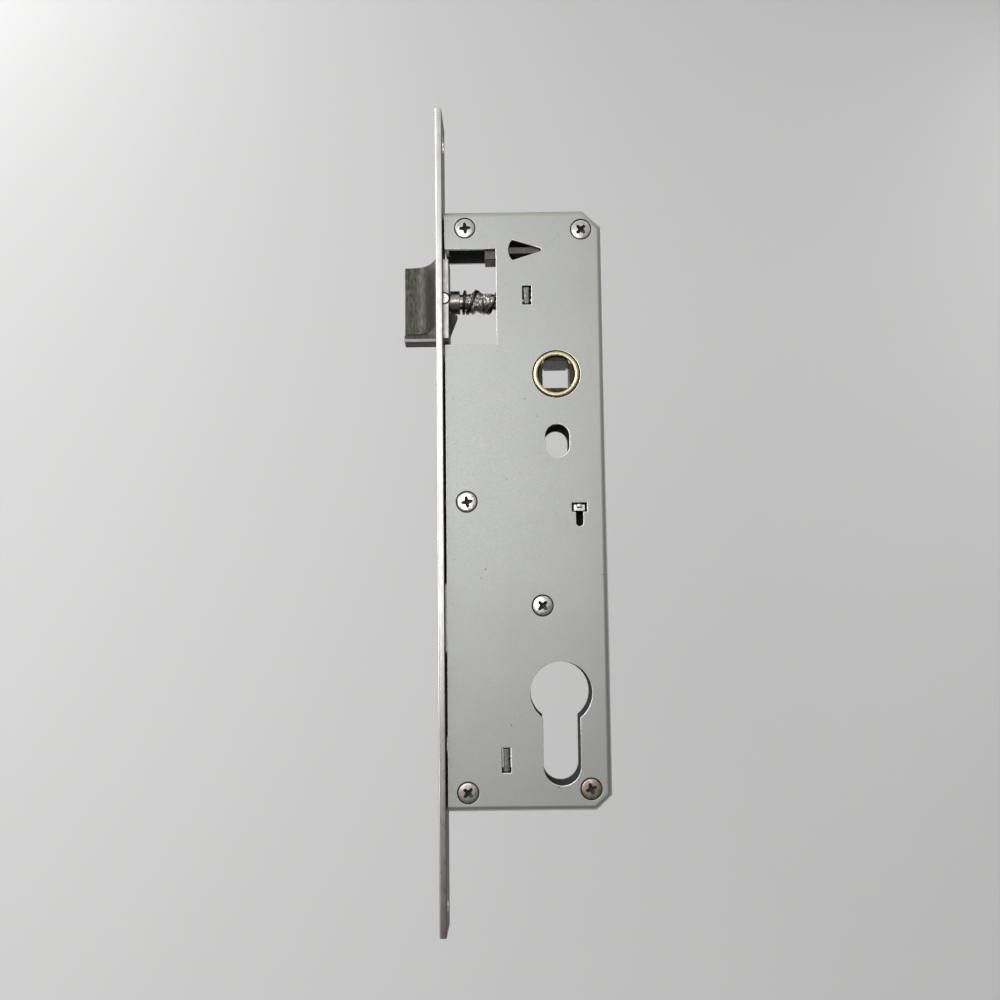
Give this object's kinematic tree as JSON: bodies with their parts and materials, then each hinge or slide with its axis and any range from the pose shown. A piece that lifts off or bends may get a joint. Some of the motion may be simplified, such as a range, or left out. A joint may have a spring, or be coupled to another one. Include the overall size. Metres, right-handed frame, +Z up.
{
  "type": "mortise lock",
  "caption": "Narrow-stile mortise lock with a faceplate, a sheet steel case, a bevelled spring latch, a square-holed spindle hub and a deadbolt driven by a euro-profile cylinder.",
  "frame": {"origin": "front face of the faceplate at the height of the spindle axis, in the middle of its width", "axes": "+X into the door, away from the faceplate; +Z up along the faceplate; the case's screws and the latch's bevel face -Y"},
  "size_m": [0.059, 0.018, 0.24],
  "materials": {
    "zinc_sheet": "satin zinc-plated sheet, fine mottled grain",
    "stainless": "brushed along its length, bright cut edges",
    "cast_latch": "die-cast, dark satin with worn bright edges",
    "brass_bush": "pale turned brass",
    "dark_steel": "oiled dark steel",
    "bright_steel": "bright nickel plate",
    "spring_wire": "greased spring steel wire"
  },
  "bodies": {
    "case": {"faceplate": "stainless", "cover_tray": "zinc_sheet", "base_plate": "zinc_sheet", "faceplate_rivet_1": "stainless", "faceplate_rivet_2": "stainless", "faceplate_rivet_3": "stainless", "case_post_1": "bright_steel", "case_post_2": "bright_steel", "case_post_3": "bright_steel", "case_post_4": "bright_steel", "case_post_5": "bright_steel", "case_post_6": "bright_steel", "case_screw_1": "bright_steel", "case_screw_2": "bright_steel", "case_screw_3": "bright_steel", "case_screw_4": "bright_steel", "case_screw_5": "bright_steel", "case_screw_6": "bright_steel", "latch_guide": "bright_steel", "latch_spring": "spring_wire", "hub_bush_front": "brass_bush", "hub_bush_back": "brass_bush", "return_spring": "spring_wire", "return_spring_seat": "zinc_sheet", "detent_spring": "spring_wire", "detent_post": "bright_steel", "catch_pin": "bright_steel", "catch_spring": "spring_wire", "cylinder_screw_guide": "bright_steel"},
    "hub": {"hub": "dark_steel"},
    "latch": {"latch_head": "cast_latch", "latch_pin": "bright_steel", "latch_stem": "dark_steel", "latch_crosshead": "dark_steel"},
    "return_slide": {"return_slide": "bright_steel"},
    "deadbolt": {"deadbolt": "stainless", "deadbolt_tail": "bright_steel", "deadbolt_rivet_1": "bright_steel", "deadbolt_rivet_2": "bright_steel"},
    "catch": {"catch_lever": "dark_steel"}
  },
  "joints": [
    {"name": "hub_turn", "type": "hinge", "parent": "case", "child": "hub", "pos_m": [0.035, 0, 0], "axis": [0, 1, 0], "range_deg": [0, 35]},
    {"name": "latch_slide", "type": "slide", "parent": "case", "child": "latch", "axis": [1, 0, 0], "range_m": [0, 0.01], "stiffness_N_per_m": 450, "springref_m": -0.012, "deforming": ["latch_spring"]},
    {"name": "return_slide_travel", "type": "slide", "parent": "case", "child": "return_slide", "axis": [0, 0, -1], "range_m": [0, 0.005], "stiffness_N_per_m": 600, "springref_m": -0.006, "deforming": ["return_spring"]},
    {"name": "deadbolt_slide", "type": "slide", "parent": "case", "child": "deadbolt", "axis": [-1, 0, 0], "range_m": [0, 0.012], "deforming": ["detent_spring"]},
    {"name": "catch_turn", "type": "hinge", "parent": "case", "child": "catch", "pos_m": [0.0332, 0, 0.0375], "axis": [0, 1, 0], "range_deg": [0, 8], "stiffness_Nm_per_rad": 0.01, "springref_deg": -17.19}
  ],
  "couplings": [
    {"joint": "hub_turn", "follows": "latch_slide", "rad_per_m": 61.08},
    {"joint": "return_slide_travel", "follows": "latch_slide", "ratio": 0.5}
  ]
}
